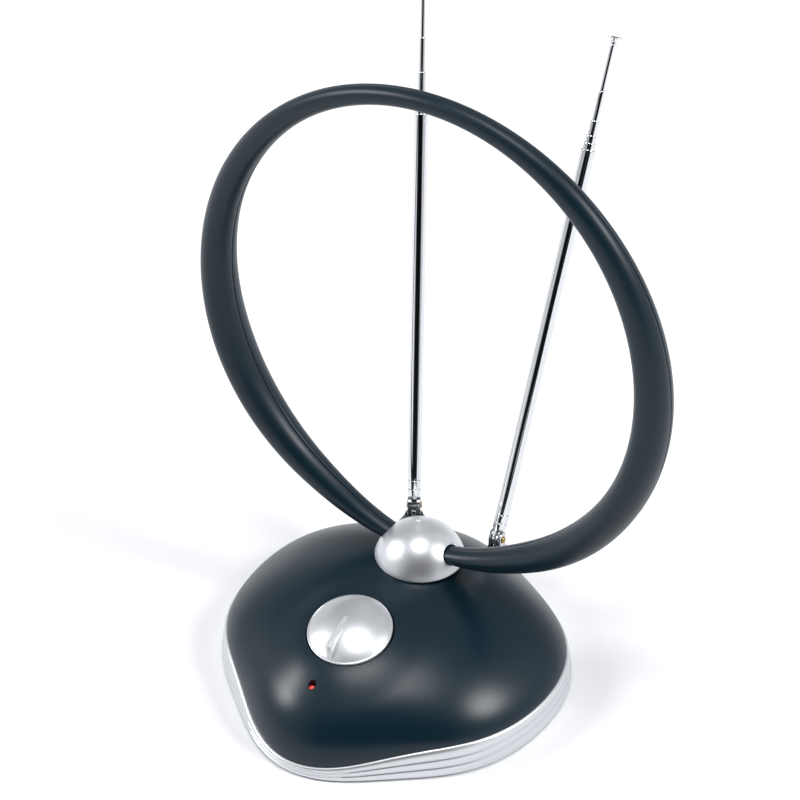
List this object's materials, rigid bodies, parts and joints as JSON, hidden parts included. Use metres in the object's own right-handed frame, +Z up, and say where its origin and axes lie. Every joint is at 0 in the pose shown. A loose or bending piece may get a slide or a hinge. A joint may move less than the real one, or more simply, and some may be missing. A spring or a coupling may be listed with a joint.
{
  "type": "indoor television antenna",
  "caption": "Indoor antenna: a lobed base with a gain knob, a turning turret with an oval loop, and telescopic rods on swivelling knuckles.",
  "frame": {"origin": "on the table under the middle of the base, in the plane of the rubber feet", "axes": "+Z up, -Y to the front, where the knob and the power light are, +X to the right as seen from the front; the loop lies in a plane of constant Y"},
  "size_m": [0.208, 0.2061, 0.2614],
  "materials": {
    "black_plastic": "satin, fine grain",
    "silver_paint": "satin metallic",
    "chrome_plate": "polished",
    "cover_plastic": "matte",
    "foot_rubber": "matte",
    "zinc_steel": "zinc plated",
    "board_laminate": "lacquered",
    "part_plastic": "moulded",
    "tin_plate": "satin",
    "ferrite": "matte",
    "red_lens": "clear red",
    "nickel_brass": "nickel plated",
    "brass": "satin",
    "copper": "drawn wire"
  },
  "bodies": {
    "base": {"bottom_cover": "cover_plastic", "rubber_feet": "foot_rubber", "cover_screws": "zinc_steel", "ballast_plate": "zinc_steel", "bezel": "silver_paint", "top_shell": "black_plastic", "circuit_board": "board_laminate", "board_screws": "zinc_steel", "board_parts": "part_plastic", "shield_can": "tin_plate", "balun": "ferrite", "power_light": "red_lens", "coax_socket": "nickel_brass", "coax_nut": "nickel_brass", "power_inlet": "part_plastic", "gain_control": "tin_plate", "gain_control_nut": "nickel_brass"},
    "knob": {"gain_shaft": "brass", "gain_knob": "silver_paint"},
    "turret": {"turret_base": "black_plastic", "turret_dome": "silver_paint", "turret_washer": "zinc_steel", "turret_nut": "nickel_brass", "loop_front_half": "black_plastic", "loop_rear_half": "black_plastic", "loop_conductor": "copper", "loop_screws": "zinc_steel"},
    "left_swivel": {"left_fork": "chrome_plate", "left_spindle_nut": "zinc_steel", "left_hinge_screw": "brass"},
    "left_rod": {"left_knuckle": "chrome_plate", "left_tube_1": "chrome_plate"},
    "left_section_2": {"left_tube_2": "chrome_plate"},
    "left_section_3": {"left_tube_3": "chrome_plate"},
    "left_section_4": {"left_tube_4": "chrome_plate"},
    "left_section_5": {"left_tube_5": "chrome_plate"},
    "left_section_6": {"left_tube_6": "chrome_plate", "left_tip_cap": "chrome_plate"},
    "right_swivel": {"right_fork": "chrome_plate", "right_spindle_nut": "zinc_steel", "right_hinge_screw": "brass"},
    "right_rod": {"right_knuckle": "chrome_plate", "right_tube_1": "chrome_plate"},
    "right_section_2": {"right_tube_2": "chrome_plate"},
    "right_section_3": {"right_tube_3": "chrome_plate"},
    "right_section_4": {"right_tube_4": "chrome_plate"},
    "right_section_5": {"right_tube_5": "chrome_plate"},
    "right_section_6": {"right_tube_6": "chrome_plate", "right_tip_cap": "chrome_plate"}
  },
  "joints": [
    {"name": "knob_turn", "type": "hinge", "parent": "base", "child": "knob", "pos_m": [0, -0.0275, 0.03853], "axis": [0, -0.2164, 0.9763], "range_deg": [-140, 140]},
    {"name": "turret_turn", "type": "hinge", "parent": "base", "child": "turret", "pos_m": [0, 0.0239, 0.042], "axis": [0, 0, 1], "range_deg": [-35, 35]},
    {"name": "left_swivel_turn", "type": "hinge", "parent": "base", "child": "left_swivel", "pos_m": [-0.0208, 0.052, 0.04036], "axis": [0, 0, 1], "range_deg": [-75.6, 59.4]},
    {"name": "left_rod_tilt", "type": "hinge", "parent": "left_swivel", "child": "left_rod", "pos_m": [-0.0208, 0.052, 0.04036], "axis": [-0.861, -0.5086, 0], "range_deg": [-21.4, 68.5]},
    {"name": "left_section_2_slide", "type": "slide", "parent": "left_rod", "child": "left_section_2", "axis": [-0.186, 0.3149, 0.9307], "range_m": [-0.0025, 0.1323]},
    {"name": "left_section_3_slide", "type": "slide", "parent": "left_section_2", "child": "left_section_3", "axis": [-0.186, 0.3149, 0.9307], "range_m": [-0.0032, 0.1296]},
    {"name": "left_section_4_slide", "type": "slide", "parent": "left_section_3", "child": "left_section_4", "axis": [-0.186, 0.3149, 0.9307], "range_m": [-0.0104, 0.1204]},
    {"name": "left_section_5_slide", "type": "slide", "parent": "left_section_4", "child": "left_section_5", "axis": [-0.186, 0.3149, 0.9307], "range_m": [-0.0136, 0.1152]},
    {"name": "left_section_6_slide", "type": "slide", "parent": "left_section_5", "child": "left_section_6", "axis": [-0.186, 0.3149, 0.9307], "range_m": [-0.0348, 0.092]},
    {"name": "right_swivel_turn", "type": "hinge", "parent": "base", "child": "right_swivel", "pos_m": [0.0208, 0.052, 0.04036], "axis": [0, 0, -1], "range_deg": [-45, 90]},
    {"name": "right_rod_tilt", "type": "hinge", "parent": "right_swivel", "child": "right_rod", "pos_m": [0.0208, 0.052, 0.04036], "axis": [-1, 0, 0], "range_deg": [-21.4, 68.5]},
    {"name": "right_section_2_slide", "type": "slide", "parent": "right_rod", "child": "right_section_2", "axis": [0, 0.3657, 0.9307], "range_m": [-0.0025, 0.1323]},
    {"name": "right_section_3_slide", "type": "slide", "parent": "right_section_2", "child": "right_section_3", "axis": [0, 0.3657, 0.9307], "range_m": [-0.0027, 0.1301]},
    {"name": "right_section_4_slide", "type": "slide", "parent": "right_section_3", "child": "right_section_4", "axis": [0, 0.3657, 0.9307], "range_m": [-0.0057, 0.1251]},
    {"name": "right_section_5_slide", "type": "slide", "parent": "right_section_4", "child": "right_section_5", "axis": [0, 0.3657, 0.9307], "range_m": [-0.0115, 0.1173]},
    {"name": "right_section_6_slide", "type": "slide", "parent": "right_section_5", "child": "right_section_6", "axis": [0, 0.3657, 0.9307], "range_m": [-0.018, 0.1088]}
  ]
}
